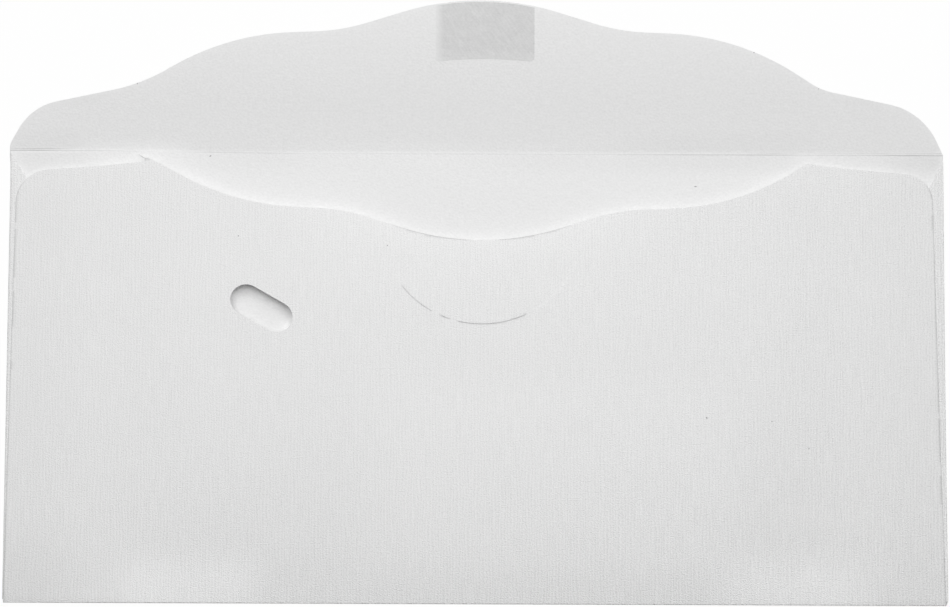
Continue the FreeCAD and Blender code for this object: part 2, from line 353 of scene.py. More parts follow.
fold_turns = [k / FOLD_STEPS for k in range(FOLD_STEPS + 1)]
blank_left = past_side(half_width - side_flap_width)
blank_foot = past_bottom(0.0)
side_rows = even_rows(side_line + side_strip, blank_left)[1:]
side_rows = [side_line + side_strip * t for t in fold_turns] + side_rows
columns = [-x for x in side_rows] + even_rows(-side_line, side_line)[1:-1] + side_rows
score_rows = [-0.5, -0.25, 0.0, 0.2, 0.45, SCORE_WIDTH, 0.9, 1.15, 1.4, 1.7]
rows = even_rows(blank_foot, bottom_line - bottom_strip)[:-1]
rows += [bottom_line - bottom_strip * t for t in fold_turns]
rows += even_rows(bottom_line, -1.2)[1:] + score_rows + even_rows(2.4, flap_length)
mouth_line = [point for point in with_even_steps(rounded(back_corners), 1.0) if point.y > -30.0]
guides = [(p.x, p.y + lift) for p in mouth_line for lift in GUIDE_LIFTS
          if p.y + lift < -0.9 and abs(p.x) < side_line - 0.8]
guides += [slot_middle + (p - slot_middle) * share for p in slot_outline() for share in GUIDE_SHARES]
guide_tree = kdtree.KDTree(len(guides))
for i, (x, y) in enumerate(guides):
    guide_tree.insert((x, y, 0.0), i)
guide_tree.balance()
grid = [(x, y) for x in columns for y in rows if guide_tree.find((x, y, 0.0))[2] > GUIDE_CLEARANCE]
grid = np.array(grid + [tuple(point) for point in guides])
print("grid points:", len(grid), "of which guides", len(guides))

# %% [markdown]
# A triangulation joins the points, with the outlines as edges that it has to keep. It fills everything,
# also the holes and the bays outside the blank, so a triangle stays only if its middle lies inside the
# outline and in none of the holes.

# %% Triangles between the lines
def inside(outline, points):
    """True for each point that a closed outline goes round: a ray from it crosses the line once."""
    x, y = points.T
    crossed = np.zeros(len(points), bool)
    for i, (bx, by) in enumerate(outline):
        ax, ay = outline[i - 1]
        if ay == by:
            continue
        crossed ^= ((ay > y) != (by > y)) & (x < ax + (bx - ax) * (y - ay) / (by - ay))
    return crossed


def filled(outlines, grid_points, clearance):
    """Triangles between an outline and its holes: points, corners, and 1 for points on a cut edge."""
    borders = [point for outline in outlines for point in outline]
    tree = kdtree.KDTree(len(borders))
    for i, point in enumerate(borders):
        tree.insert((point.x, point.y, 0.0), i)
    tree.balance()
    filling = [Vector(point) for point in grid_points if tree.find((*point, 0.0))[2] > clearance]
    border_edges = []
    for outline in outlines:
        start = len(border_edges)
        border_edges += [(start + i, start + (i + 1) % len(outline)) for i in range(len(outline))]
    all_points, _, found, *_ = delaunay_2d_cdt(borders + filling, border_edges, [], 1, 1e-6)
    points, found = np.array([point[:] for point in all_points]), np.array(found)
    middles = points[found].mean(axis=1)
    kept = inside(outlines[0], middles)
    for hole in outlines[1:]:
        kept &= ~inside(hole, middles)
    used, corners = np.unique(found[kept], return_inverse=True)
    return points[used], [tuple(face) for face in corners.reshape(-1, 3).tolist()], used < len(borders)


blank, triangles, on_edge = filled([blank_outline] + hole_outlines, grid, 0.55 * GRID_STEP)
print("blank:", len(blank), "points,", len(triangles), "triangles")

# %% [markdown]
# ## Folding
# A fold is the simplest of curves. From the fold line on, the middle of the sheet runs half way round
# a small circle and comes back the other way, at the height of the paper beneath it plus the gap that
# the fold leaves. The same few lines turn all three folds.

# %% Turn a fold
def turned_over(past, radius):
    """How far the paper gets beyond a fold line, how high it rises, and its angle there."""
    angle = np.clip(past / radius, 0.0, math.pi)
    rest = np.maximum(past - math.pi * radius, 0.0)
    return radius * np.sin(angle) - rest, radius * (1 - np.cos(angle)), angle


for past in (0.0, math.pi * side_turn / 2, math.pi * side_turn):
    print("past the line", round(past, 3), "->", [round(float(v), 3) for v in turned_over(past, side_turn)])

# %% [markdown]
# The pocket isn't flat. Paper springs open a little once it is folded, so the back panel swells up
# from the bottom fold, stays up over the pocket, and sinks again towards the throat. The glued seams
# hold it down at both sides. Its rise from a seam is a smooth blend over three of the fourteen spans
# that the solid's surface has from seam to seam. At the two upper corners the free edge of the panel
# springs up a little too.

# %% Swell of the pocket
pocket_rise, pocket_fullness, throat_sink = 3.2, 5.0, 1.7
seam_line = 104.0
spans_across, blend_spans = 14, 3
blend_run = blend_spans * 2 * seam_line / spans_across
corner_spring, spring_start = 0.45, -32.0
spring_inner, spring_run = 50.0, 40.0
side_hold, side_hold_run = 1.0, 12.0


def blend(t):
    """Smooth step from 0 to 1, with a soft start and end."""
    t = np.clip(t, 0.0, 1.0)
    return t ** 3 * (t * (6 * t - 15) + 10)


def swell(x, y):
    """Lift of the back panel over its flat height."""
    share = np.clip((y - bottom_line) / -bottom_line, 0.0, 1.0)
    lift = pocket_rise * (1 - (1 - share) ** pocket_fullness) - throat_sink * share ** 2
    lift = lift * blend((seam_line - abs(x)) / blend_run)
    held = blend((half_width - side_hold - abs(x)) / side_hold_run)
    free = blend((y - spring_start) / -spring_start) * held
    return np.maximum(lift, 0.0) + corner_spring * free * blend((abs(x) - spring_inner) / spring_run)


print("pocket opens", round(float(swell(0.0, bottom_line * 0.5)), 2), "mm in the middle")

# %% [markdown]
# Two smaller shapes belong to the fold as well. The front panel follows the swelling a little: it bows
# up inside the pocket, so that the slot isn't as deep as the back panel stands high. The sliver at the
# left peak hangs down from it, almost onto the front panel. And a swollen pocket is a little narrower
# than a flat one, because both its sides are drawn in. The bow is given by its height and by where it
# ends at the sides, at the foot and at the throat, each with the run over which it fades out.

# %% Bow of the front panel, the hanging sliver and the drawn-in sides
front_bow = 0.5
bow_sides, sides_run = 92.0, 30.0
bow_foot, foot_run = 4.0, 40.0
bow_throat, throat_run = -14.0, 22.0
sliver_drop, sliver_length = 0.85, 1.7
hang_start, hang_reach, hang_below = 0.8, 4.0, 0.4
left_pull, right_pull = 0.25, 0.12
pull_inner, pull_run, pull_top = 80.0, 20.0, 4.0


def bow(x, y):
    """Lift of the front panel inside the pocket."""
    from_sides = blend((bow_sides - abs(x)) / sides_run)
    from_foot = blend((y - bottom_line - bow_foot) / foot_run)
    return front_bow * from_sides * from_foot * blend((bow_throat - y) / throat_run)


def sliver_hang(x, y):
    """How far the sliver hangs below the back panel."""
    beyond_peak = np.clip((left_peak.x - hang_start - x) / sliver_length, 0.0, 1.0)
    on_sliver = (y > left_peak.y - hang_below) * (x > left_peak.x - hang_reach)
    return sliver_drop * beyond_peak * on_sliver


def side_pull(x, y):
    """How far the swollen pocket draws a side in, towards the middle."""
    near_side = blend((abs(x) - pull_inner) / pull_run) * blend(-y / pull_top)
    halfway_down = np.sin(math.pi * np.clip(y / bottom_line, 0.0, 1.0))
    return near_side * np.where(x < 0, left_pull, right_pull * halfway_down)


print("front panel bows up", round(float(bow(slot_middle.x, slot_middle.y)), 2), "mm under the slot")

# %% [markdown]
# The open seal flap rises most steeply at the score, at 13 degrees, and flattens towards its tip,
# because the fold in the score still holds it up. Its height is the sum of its slopes.

# %% Rise of the seal flap
score_bend = 0.55
flap_first, flap_last = math.radians(13.0), math.radians(5.6)


def score_line(u):
    """Where the flap starts to rise: a straight line that bends up a little towards its left end."""
    return score_bend * blend((-30.0 - u) / 85.0)


flap_ys = np.linspace(0.0, flap_length, 400)
flap_share = (flap_ys - SCORE_WIDTH) / (flap_length - SCORE_WIDTH)
flap_slopes = np.where(flap_ys < SCORE_WIDTH, flap_first / 2,
                       flap_first + (flap_last - flap_first) * np.clip(flap_share, 0.0, 1.0))
flap_step = flap_ys[1] - flap_ys[0]
flap_rises = np.concatenate([[0.0], np.cumsum(np.tan(flap_slopes[:-1]) * flap_step)])
print("flap tip rises", round(float(flap_rises[-1]), 2), "mm")

# %% [markdown]
# Now every point of the blank gets its place. Besides the place, the folded sheet needs the way that
# its inner face looks, because the paper's thickness is added along it.

# %% Fold the blank
def folded(points):
    """Places of flat points on the middle of the folded sheet, with the way the inner face looks."""
    u, v = points.T
    side = np.sign(u)
    x_on, side_rise, side_angle = turned_over(np.maximum(abs(u) - side_line, 0.0), side_turn)
    y_on, back_rise, back_angle = turned_over(np.maximum(bottom_line - v, 0.0), bottom_turn)
    x = side * (np.minimum(abs(u), side_line) + x_on)
    y = np.maximum(v, bottom_line) - y_on
    x = x - side * side_pull(x, y)
    on_back = v < bottom_line - bottom_strip
    z = paper / 2 + side_rise + back_rise + np.where(on_back, swell(x, y), 0.0)
    on_front = (v > bottom_line) & (abs(u) < side_line)
    z += np.where(on_front, bow(x, y), 0.0) - np.where(on_back, sliver_hang(x, y), 0.0)
    past_score = v - score_line(u)
    z += np.interp(past_score, flap_ys, flap_rises)
    flap_angle = np.where(past_score > 0, np.interp(past_score, flap_ys, flap_slopes), 0.0)
    facing = np.stack([-side * np.sin(side_angle), np.sin(back_angle) - np.sin(flap_angle),
                       np.cos(side_angle) * np.cos(back_angle) * np.cos(flap_angle)], axis=1)
    gap = 0.5
    across = (swell(x + gap, y) - swell(x - gap, y)) / (2 * gap)
    along = (swell(x, y + gap) - swell(x, y - gap)) / (2 * gap)
    facing[:, 0] += np.where(on_back, across, 0.0)
    facing[:, 1] += np.where(on_back, along, 0.0)
    facing[:, 1] -= np.where(on_front, (bow(x, y + gap) - bow(x, y - gap)) / (2 * gap), 0.0)
    facing[:, 0] -= np.where(on_front, (bow(x + gap, y) - bow(x - gap, y)) / (2 * gap), 0.0)
    facing /= np.linalg.norm(facing, axis=1)[:, None]
    return np.stack([x, y, z], axis=1), facing


places, facing = folded(blank)
print("folded sheet spans", places.min(axis=0).round(2), "to", places.max(axis=0).round(2))

# %% [markdown]
# The two faces of the sheet lie half a thickness to either side of its middle, and a narrow rim joins
# them all round and in every hole. The flat coordinates of the blank stay with each point, because
# the paper was made before it was folded: its grain and its laid lines run on round the folds.

# %% Give the sheet its thickness
def sheet_object(name, middles, normals, flat, faces, marks, thickness):
    """Closed sheet from its middle surface: inner face, outer face and rim."""
    count = len(middles)
    vertices = np.concatenate([middles + normals * thickness / 2, middles - normals * thickness / 2])
    directed = {(a, b) for face in faces for a, b in zip(face, face[1:] + face[:1])}
    rim = [(a, b) for a, b in sorted(directed) if (b, a) not in directed]
    quads = [(b, a, a + count, b + count) for a, b in rim]
    outer_faces = [tuple(i + count for i in reversed(face)) for face in faces]
    mesh = bpy.data.meshes.new(name)
    mesh.from_pydata((vertices * MM).tolist(), [], list(faces) + outer_faces + quads)
    mesh.polygons.foreach_set("material_index",
                              [0] * len(faces) + [1] * len(outer_faces) + [2] * len(quads))
    mesh.shade_smooth()
    keys = {tuple(sorted(edge)) for edge in rim}
    keys |= {(a + count, b + count) for a, b in keys}
    sharp = mesh.attributes.new("sharp_edge", "BOOLEAN", "EDGE")
    sharp.data.foreach_set("value", [tuple(sorted(edge.vertices)) in keys for edge in mesh.edges])
    on_blank = mesh.attributes.new("blank", "FLOAT_VECTOR", "POINT")
    flat_both = np.concatenate([flat, flat]) * MM
    on_blank.data.foreach_set("vector", np.c_[flat_both, np.zeros(2 * count)].ravel())
    for key, values in marks.items():
        inner, outer = values if isinstance(values, tuple) else (values, values)
        mark = mesh.attributes.new(key, "FLOAT", "POINT")
        mark.data.foreach_set("value", np.concatenate([inner, outer]).astype(float))
    mesh.update()
    piece = bpy.data.objects.new(name, mesh)
    bpy.context.scene.collection.objects.link(piece)
    return piece


def to_row_frame(points):
    """Move points from the score to the frame's origin, in the middle of the footprint."""
    return points + np.array([0.0, score_y, 0.0])


print("a sheet of paper is", paper, "mm thick")

# %% [markdown]
# Paper carries marks that follow its shape, so they are worked out here, point by point, and stay with
# the mesh; all three are light and shade painted into the colour. The first is the hairline of a cut
# or a sharp fold: a painted line of shadow where the edge stands clear, a painted highlight where it
# catches the light, and nothing where it lies close.

# %% Strength of the hairlines
# Each strength below is of a painted shadow line; a negative strength makes a painted highlight.
side_edge_dark, mouth_dark, sliver_dark = 1.05, 1.3, 0.75
left_fold_dark, right_fold_dark, side_flap_dark = 0.42, -0.1, -0.6
halfmoon_dark = (-0.25, 0.55, 0.6, 0.4)
nick_fades = (1.5, 1.5, 2.5)


def between(value, start, full, last, end):
    """1 from full to last, fading to 0 at start and at end."""
    return blend((value - start) / (full - start)) * blend((end - value) / (end - last))


def hairlines(points, places):
    """Where the painted hairlines of shadow and highlight are (1 on them), and how dark they are."""
    u, v = points.T
    x, y = places[:, 0], places[:, 1]
    in_side_fold = (abs(u) > side_line) & (abs(u) < side_line + side_strip + 0.001)
    on_back = v < bottom_line - bottom_strip
    on_side_flap = (abs(u) > side_line + side_strip + 0.001) & (v > bottom_line)
    strength = np.zeros(len(points))
    side_edge = side_edge_dark * blend((abs(x) - half_width + 6.0) / 3.0) * blend((-y - 6.0) / 4.0)
    mouth = between(x, -26.0, -14.0, -1.6, -1.0) + between(x, 5.6, 6.0, 12.0, 36.0)
    mouth = mouth_dark * mouth * (y > -27.0) * (y < -19.0)
    strength = np.where(on_back, side_edge + mouth, strength)
    reach = np.hypot(x - halfmoon_middle.x, y - halfmoon_middle.y)
    angle = np.degrees(np.arctan2(halfmoon_middle.y - y, x - halfmoon_middle.x))
    moon = np.select([angle < nick for nick in halfmoon_nicks], halfmoon_dark[:3], halfmoon_dark[3])
    for nick, fade in zip(halfmoon_nicks, nick_fades):
        moon = moon * blend((abs(angle - nick) - fade) / 1.2)
    strength = np.where(on_back & (abs(reach - halfmoon_radius) < 1.0) & (y < -20.5), moon, strength)
    on_sliver = (y > left_peak.y - 0.4) & (abs(x - left_peak.x + 2.2) < 1.85)
    strength = np.where(on_back & on_sliver, sliver_dark, strength)
    strength = np.where(on_side_flap & (y > -12.0), side_flap_dark, strength)
    strength = np.where(in_side_fold, np.where(x < 0, left_fold_dark, right_fold_dark), strength)
    beside_fold = on_side_flap & (abs(x) > half_width - 2.0)
    return np.select([in_side_fold, beside_fold], [1.0, 0.0], on_edge), strength


hairline, edge_light_and_shade = hairlines(blank, places)
print("points on a hairline:", int(hairline.sum()))

# %% [markdown]
# The second mark is the tone of the paper, which is painted light and shade. Where one sheet lies just
# above another, light bounces between them, and the lower sheet glows along the edge of the upper one;
# that glow is painted. Such a glow fades with the distance from the edge, so one helper measures that
# distance. Other painted light and shade changes along the envelope with no rule, so a second helper
# draws a line through a few pairs of place and value.

# %% Helpers for the tone
def from_places(pairs, x):
    """Value at x of a line drawn through pairs of place and value."""
    return np.interp(x, *zip(*pairs))


def distances(line, x, y):
    """Distance of each point from a line, measured flat."""
    tree = kdtree.KDTree(len(line))
    for i, point in enumerate(line):
        tree.insert((point.x, point.y, 0.0), i)
    tree.balance()
    return np.array([tree.find((px, py, 0.0))[2] for px, py in zip(x, y)])


to_slot = distances(slot_outline(), [slot_middle.x], [slot_middle.y])
print("from the slot's middle to its edge:", round(float(to_slot[0]), 2), "mm")

# %% [markdown]
# The front panel gets a painted glow along the mouth and the side flaps that lie over it, and under the
# slot. Most of the slot is in shadow, but the paper beside it lets some light through, and a painted
# glow stands for it on the shaded side. Close to the score painted shade makes the panel duller, because
# the flap's fold keeps light off it.

# %% Tone of the front panel
painted_shade_at_score = ((-112, 0.055), (-106, 0.065), (-97, 0.045), (-90, 0.0), (-76, 0.0), (-64, 0.03),
                 (-50, 0.03), (-34, 0.01), (-10, 0.0), (16, 0.035), (34, 0.03), (50, 0.055), (72, 0.05),
                 (84, 0.04), (98, 0.06), (112, 0.1))


def slot_painted_glow(x, y):
    """Painted light along the shaded edge of the slot, for the light that the paper lets through, 1 at the
    edge.
    """
    outline = with_even_steps(slot_outline(), 0.25)
    shaded = [p + Vector((0.0, 0.8)) for p in outline
              if (Matrix.Rotation(slot_tilt, 2) @ (p - slot_middle)).y > -1.2]
    return np.exp(-distances(shaded, x, y) / 0.62)


def front_light_and_shade(x, y):
    """Painted light and shade of the front panel: a painted glow along the edges that lie over it, painted
    shade close to the score.
    """
    side_edges = [Vector((side * (side_line - t), top - t * math.tan(math.radians(slope))))
                  for side, (top, slope) in flap_tops.items() for t in np.arange(0.0, 5.0, 0.5)]
    from_mouth = distances(mouth_line + side_edges, x, y)
    from_slot = distances(with_even_steps(slot_outline(), 0.25), x, y)
    painted_glow = 0.025 * np.exp(-from_mouth / 1.3) + 0.03 * np.exp(-from_mouth / 5.0)
    painted_glow *= 1.0 + 0.9 * between(-x, 12.0, 34.0, 66.0, 80.0) + 0.3 * between(x, 20.0, 50.0, 66.0, 80.0)
    painted_glow += 0.02 * np.exp(-from_mouth / 1.6) * between(abs(x), 76.0, 84.0, 97.0, 106.0)
    painted_glow *= 1.0 - 0.8 * blend((x - 99.0) / 6.0)
    painted_glow += 0.02 * np.exp(-from_slot / 1.3) + 0.03 * np.exp(-from_slot / 5.0)
    painted_score_shade = from_places(painted_shade_at_score, x) * blend((y + 7.0) / 5.5)
    return painted_glow + 0.58 * slot_painted_glow(x, y) - painted_score_shade


front = front_light_and_shade(places[:, 0], places[:, 1])
print("front panel:", round(float(front.min()), 3), "to", round(float(front.max()), 3))

# %% [markdown]
# The seal flap gets painted shade that makes it a trace greyer than the pocket past the bend. Painted
# highlights lie on its cut edge and in the bend just past the score, and painted shade on the two ends
# of that bend.

# %% Tone of the seal flap
flap_line = rounded(flap_corners, closed=False)
painted_highlight_in_bend = ((-106, 0), (-98, 0.01), (-93, 0.05), (-76, 0.06), (-67, 0), (-50, 0.01), (-34, 0.03),
                  (-10, 0.035), (16, 0.02), (40, 0))


def flap_light_and_shade(u, v):
    """Painted light and shade of the seal flap: painted highlights at its cut edge and in the bend past the
    score, painted shade beyond the bend and at the bend's two ends.
    """
    bent = from_places(painted_highlight_in_bend, u)
    painted_shade_at_ends = 0.025 * between(-u, 94.0, 102.0, 120.0, 121.0) + 0.02 * between(u, 30.0, 50.0, 72.0, 90.0)
    return (0.025 * np.exp(-distances(flap_line, u, v) / 2.5) - 0.03 * blend((v - 1.0) / 14.0)
            + bent * blend((4.5 - v) / 4.0) - painted_shade_at_ends * between(v, 0.8, 1.5, 3.5, 7.0))


flap = flap_light_and_shade(*blank.T)
print("flap:", round(float(flap.min()), 3), "to", round(float(flap.max()), 3))

# %% [markdown]
# The back panel gets a painted glow at its lip and in its middle, and painted shade at its sides and
# lower corners. At its foot two painted highlights lie beside the bottom fold, and the fold itself gets
# one too. With it, the tones of all panels come together in one value for each point.

# %% Tone of the back panel, and of the whole sheet
FOLD_HIGHLIGHT = 0.1


def back_light_and_shade(x, y):
    """Painted light and shade of the back panel: a painted glow at its lip, painted highlights at its foot
    and in its middle, painted shade at the sides and lower corners.
    """
    painted_lip_glow = 0.05 * np.exp(-distances(mouth_line, x, y) / 12.0) * blend((60.0 - abs(x)) / 40.0)
    painted_side_shade = 0.025 * blend((abs(x) - 88.0) / 22.0)
    # Painted shade at the lower corners.
    corners = np.where(x < 0, 0.05, 0.015) * blend((abs(x) - 85.0) / 25.0) * blend((-88.0 - y) / 24.0)
    painted_foot_highlights = 0.09 * between(x, -92.0, -78.0, -60.0, -46.0) + 0.08 * between(x, 50.0, 70.0, 78.0, 104.0)
    middle = 0.025 * between(x, -40.0, -10.0, 50.0, 75.0) * between(-y, 50.0, 68.0, 100.0, 112.0)
    return painted_lip_glow - painted_side_shade - corners + painted_foot_highlights * blend((-96.0 - y) / 15.0) + middle


u, v = blank.T
on_front = (v > bottom_line) & (v < 0.0) & (abs(u) < side_line)
on_back = v < bottom_line - bottom_strip
in_bottom_fold = (v < bottom_line) & ~on_back
back = back_light_and_shade(places[:, 0], places[:, 1])
tone = 1.0 + np.select([on_front, on_back, v > 0.0, in_bottom_fold], [front, back, flap, FOLD_HIGHLIGHT], 0.0)
print("tone runs from", round(float(tone.min()), 3), "to", round(float(tone.max()), 3))

# %% [markdown]
# The third mark is the score, as painted shade. A blunt rule presses two fine creases into the paper,
# and how dark their painted shade shows changes along the envelope: most at the two ends, where the
# flap was folded hardest, and hardly at all in the middle. So their depth is given at a few places and
# runs evenly in between.

# %% Depth of the two creases along the score
low_depths = ((-114, 0.8), (-109, 0.95), (-105, 0.6), (-101, 0.3), (-93, 0.4), (-84, 0.2), (-78, 0),
              (-70, 0.1), (-64, 0.3), (-50, 0.32), (-42, 0.05), (-16, 0.1), (0, 0.2), (16, 0.12), (34, 0.2),
              (50, 0.45), (62, 0.5), (72, 0.65), (80, 0.2), (88, 0.3), (98, 0.45), (103, 0.7), (108, 0.85),
              (114, 0.6))
high_depths = ((-114, 0.4), (-109, 0.6), (-105, 0.55), (-101, 0.2), (-97, 0), (-70, 0), (-60, 0.1),
               (-50, 0.1), (-42, 0), (66, 0), (72, 0.3), (80, 0), (92, 0.15), (98, 0.3), (103, 0.1),
               (108, 0.25), (114, 0.45))
low_crease = from_places(low_depths, blank[:, 0])
high_crease = from_places(high_depths, blank[:, 0])
print("deepest crease", low_crease.max(), "and", high_crease.max())

# %% [markdown]
# With its three marks, the folded sheet becomes one piece. The tone differs between its two faces: the
# painted glow and shade on the front panel and the flap are on the inner face only, so the outer face
# stays plain there.

# %% Make the sheet
outer_tone = np.where(blank[:, 1] < bottom_line, tone, 1.0)
sheet_marks = {"cut": hairline, "edge_light_and_shade": edge_light_and_shade, "tone": (tone, outer_tone), "low": low_crease,
               "high": high_crease}
sheet = sheet_object("paper_sheet", to_row_frame(places), facing, blank, triangles, sheet_marks, paper)
print("sheet:", len(sheet.data.vertices), "vertices,", len(sheet.data.polygons), "faces")

# %% [markdown]
# ## The spot of gum
# The machine rolls a short band of gum onto the flap and lets it dry. Its right and lower edges are
# crisp where the roller ended, and the right one is finely toothed. It stops just short of the cut edge
# at the tip. It is a film of its own, thinner than the paper, and lies on the flap's slope.

# %% Outline of the gum
gum_left, gum_right = -10.15, 14.18
gum_start, gum_bow = 22.4, 1.15
gum_film, gum_margin = 0.03, 0.35
gum_left_radius, gum_right_radius, gum_bow_radius = 1.0, 1.1, 100.0
tooth_pitch, tooth_depth = 0.55, 0.08
flap_line_x = [point.x for point in flap_line][::-1]
flap_line_y = [point.y for point in flap_line][::-1]


def gum_outline():
    """Closed outline of the gum, anticlockwise from its lower left corner."""
    middle, above = (gum_left + gum_right) / 2, gum_start + 6
    foot = rounded([(gum_left, above, 0), (gum_left, gum_start, gum_left_radius),
                    (middle, gum_start + gum_bow, gum_bow_radius),
                    (gum_right, gum_start, gum_right_radius), (gum_right, above, 0)], closed=False)[1:-1]
    top_right = float(np.interp(gum_right, flap_line_x, flap_line_y)) - gum_margin
    teeth = int((top_right - foot[-1].y) / (tooth_pitch / 2))
    right = [Vector((gum_right - tooth_depth * (k % 2), foot[-1].y + k * tooth_pitch / 2))
             for k in range(1, teeth)]
    across = np.linspace(gum_right, gum_left, 40)
    top = [Vector((x, y - gum_margin)) for x, y in zip(across, np.interp(across, flap_line_x, flap_line_y))]
    return foot + right + top


print("gum outline has", len(gum_outline()), "points")

# %% [markdown]
# The gum is filled, folded and given its thickness by the same three functions as the blank, so it lies
# on the flap's slope exactly. A hair of air under it keeps the two surfaces apart.

# %% Lay the gum on the flap
GUM_STEP = 0.8
CONTACT = 0.002
gum_grid = [(x, y) for x in np.arange(gum_left, gum_right, GUM_STEP)
            for y in np.arange(gum_start, flap_length, GUM_STEP)]
gum_points, gum_faces, gum_edge = filled([gum_outline()], gum_grid, GUM_STEP / 2)
under_gum, gum_facing = folded(gum_points)
on_flap = under_gum + gum_facing * (paper / 2 + gum_film / 2 + CONTACT)
gum = sheet_object("seal_gum_film", to_row_frame(on_flap), gum_facing, gum_points, gum_faces,
                   {"cut": gum_edge}, gum_film)
print("gum:", len(gum.data.polygons), "faces")

# %% [markdown]
# ## Paper
# The finishes are made of small patterns that several materials share, and each pattern is a group of
# shader nodes. One helper adds a node and fills its inputs: a socket is linked, and a value is set.

# %% Helpers for shader nodes
def add(tree, kind, inputs=None, **settings):
    """Add a node to a tree, with its settings first and then its inputs."""
    node = tree.nodes.new("ShaderNode" + kind)
    for key, value in settings.items():
        setattr(node, key, value)
    for key, value in (inputs or {}).items():
        if isinstance(value, bpy.types.NodeSocket):
            tree.links.new(value, node.inputs[key])
        else:
            node.inputs[key].default_value = value
    return node


def calc(tree, operation, first, second=0.0, third=0.0, clamp=False):
    """Result of one math node."""
    node = add(tree, "Math", {0: first, 1: second, 2: third}, operation=operation, use_clamp=clamp)
    return node.outputs[0]


def new_group(name, inputs, output):
    """Empty shader group with float inputs (name: default) after Place, and one float output."""
    tree = bpy.data.node_groups.new(name, "ShaderNodeTree")
    tree.interface.new_socket("Place", in_out="INPUT", socket_type="NodeSocketVector")
    for key, value in inputs.items():
        socket = tree.interface.new_socket(key, in_out="INPUT", socket_type="NodeSocketFloat")
        socket.default_value = value
    tree.interface.new_socket(output, in_out="OUTPUT", socket_type="NodeSocketFloat")
    return tree, tree.nodes.new("NodeGroupInput").outputs, tree.nodes.new("NodeGroupOutput").inputs


def use_group(tree, group, inputs):
    """Output of a shader group used in another tree."""
    return add(tree, "Group", inputs, node_tree=group).outputs[0]


print("node helpers ready")

# %% [markdown]
# The grain of the paper is the felt of its fibres. It shows as fine, even relief with no direction, so
# a noise pattern stands for it, in two sizes: single tufts of fibre and the bunches that they form. All
# patterns of this paper are such noise, stretched more or less, so one helper makes it.

# %% Group for the grain
def stretched_noise(tree, place, across, along, detail=1.0, sharp=0.5):
    """Noise from -1 to 1 whose grains are so many millimetres across and along the sheet."""
    squeezed = add(tree, "VectorMath", {0: place, 1: (1000.0 / across, 1000.0 / along, 1000.0)},
                   operation="MULTIPLY").outputs[0]
    grains = add(tree, "TexNoise", {"Vector": squeezed, "Scale": 1.0, "Detail": detail, "Roughness": sharp})
    return calc(tree, "MULTIPLY_ADD", grains.outputs[0], 2.0, -1.0)


grain_group, given, result = new_group("fibre grain", {}, "Height")
fine = stretched_noise(grain_group, given["Place"], 0.62, 0.5)
tufts = stretched_noise(grain_group, given["Place"], 1.5, 1.2)
grain_group.links.new(calc(grain_group, "MULTIPLY_ADD", tufts, 0.35, fine), result[0])
print("made", grain_group.name)

# %% [markdown]
# The outer face was made against a ribbed roll. Its laid lines run up and down the envelope, about
# three in two millimetres, broken by the fibres into short uneven threads. So the group adds three
# things: short threads, longer and fainter ones, and a steady ripple at the pitch of the ribs. Towards
# the bottom fold and towards the right, where the light falls more along the paper, it shows more, both
# in the bump and in the painted shade that the material draws from it.

# %% Group for the laid lines
laid_group, given, result = new_group("laid lines", {"Pitch": 0.73}, "Height")
place = given["Place"]
across, along, _ = add(laid_group, "SeparateXYZ", {0: place}).outputs
threads = stretched_noise(laid_group, place, 0.3, 0.3, detail=0.0)
long_threads = stretched_noise(laid_group, place, 0.42, 7.0, detail=0.0)
wander = stretched_noise(laid_group, place, 2.2, 9.0, detail=0.0)
ribs = calc(laid_group, "DIVIDE", calc(laid_group, "MULTIPLY", across, 1000.0), given["Pitch"])
phase = calc(laid_group, "MULTIPLY", calc(laid_group, "MULTIPLY_ADD", wander, 0.7, ribs), 2 * math.pi)
ripple = calc(laid_group, "SINE", phase)
height = calc(laid_group, "MULTIPLY_ADD", long_threads, 0.3, threads)
height = calc(laid_group, "MULTIPLY_ADD", ripple, 0.2, height)
deeper = add(laid_group, "MapRange", {"Value": along, "From Min": -0.165, "From Max": -0.118,
                                      "To Min": 1.0, "To Max": 1.42}).outputs[0]
clearer = add(laid_group, "MapRange", {"Value": across, "From Min": -0.02, "From Max": 0.08,
                                       "To Min": 1.0, "To Max": 1.22}).outputs[0]
height = calc(laid_group, "MULTIPLY", height, clearer)
laid_group.links.new(calc(laid_group, "MULTIPLY", height, deeper), result[0])
print("made", laid_group.name)

# %% [markdown]
# Held against the light, paper looks cloudy, because its fibres lie a little thicker in some places.
# The same clouds change its whiteness very slightly.

# %% Group for the clouds
cloud_group, given, result = new_group("formation clouds", {}, "Cloud")
small = stretched_noise(cloud_group, given["Place"], 2.4, 2.0, detail=2.0)
large = stretched_noise(cloud_group, given["Place"], 17.0, 12.0, detail=1.0)
cloud_group.links.new(calc(cloud_group, "MULTIPLY_ADD", large, 0.6, small), result[0])
print("made", cloud_group.name)

# %% [markdown]
# Each crease of the score is a painted line of shadow less than half a millimetre wide, and the paper
# between the two gets a faint painted highlight as a ridge. The group finds the height above the score,
# bent as the score is, and gets the depth of each crease from outside. Fibres break the lines up a little.

# %% Group for the score
low_crease_height, high_crease_height, ridge_height = -0.02, 0.42, 0.22
score_inputs = {"Low": 0.5, "High": 0.5, "Half width": 0.2}
score_group, given, result = new_group("score creases", score_inputs, "Mark")
u, v, _ = add(score_group, "SeparateXYZ", {0: given["Place"]}).outputs
bend = add(score_group, "MapRange", {"Value": u, "From Min": -0.03, "From Max": -0.115,
                                     "To Min": 0.0, "To Max": score_bend},
           interpolation_type="SMOOTHERSTEP").outputs[0]
height = calc(score_group, "SUBTRACT", calc(score_group, "MULTIPLY", v, 1000.0), bend)
broken = stretched_noise(score_group, given["Place"], 9.0, 30.0, detail=3.0)


